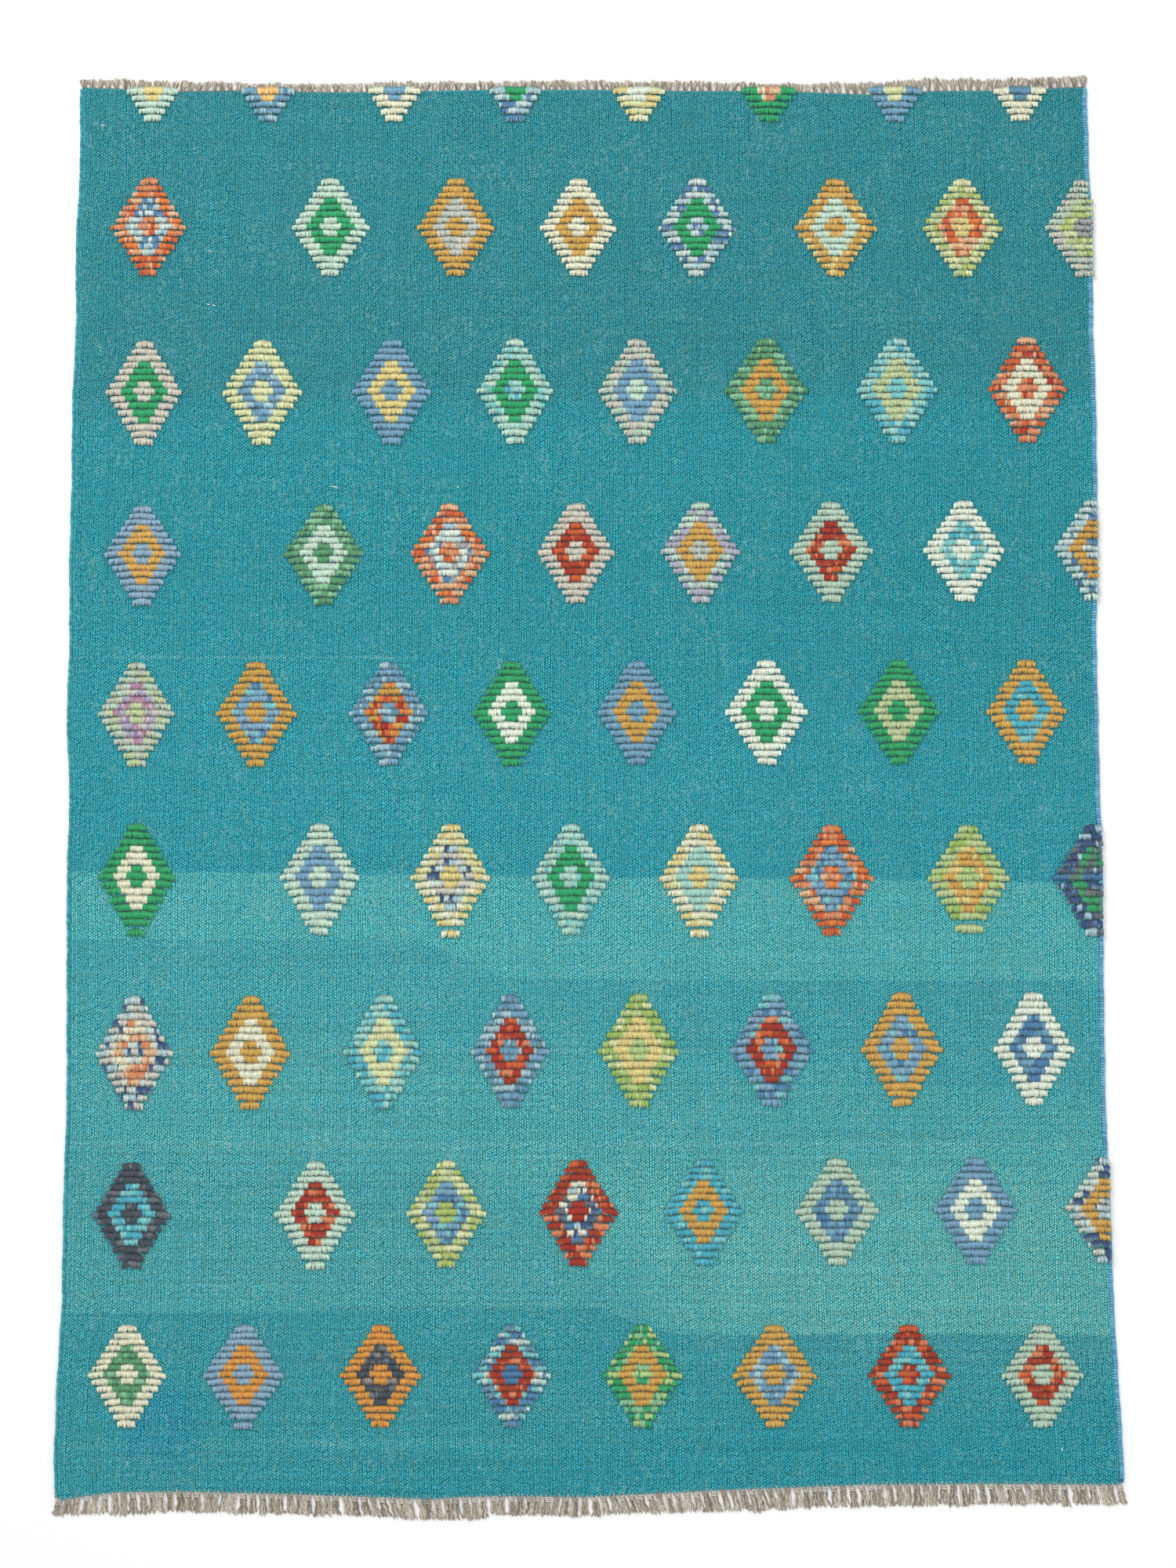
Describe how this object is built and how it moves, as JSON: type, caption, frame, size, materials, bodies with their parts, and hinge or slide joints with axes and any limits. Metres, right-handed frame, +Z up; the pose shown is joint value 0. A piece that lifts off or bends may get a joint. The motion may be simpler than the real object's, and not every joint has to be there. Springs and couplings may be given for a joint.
{
  "type": "kilim rug",
  "caption": "Flat-woven teal wool rug with staggered rows of knotted pile diamonds, whipped side edges and a wool fringe at both ends, lying flat.",
  "frame": {"origin": "middle of the rug's outer box, on the floor that it lies on", "axes": "+X across the rug, +Y along its warps towards the end with the short fringe, +Z up"},
  "size_m": [1.5306, 2.1116, 0.0082],
  "materials": {
    "field_wool": "weft-faced plain weave in variegated teal wool",
    "teal_binding": "teal wool yarn whipped round the edge",
    "blue_binding": "light blue wool yarn whipped round the edge",
    "fringe_wool": "undyed beige-grey wool yarn, twisted, with fuzzy cut ends",
    "pile_wool": "cut wool pile in many dyed colours"
  },
  "bodies": {
    "root": {"field": "field_wool", "selvage_left": "teal_binding", "selvage_right": "blue_binding", "fringe_top": "fringe_wool", "fringe_bottom": "fringe_wool"}
  },
  "joints": []
}
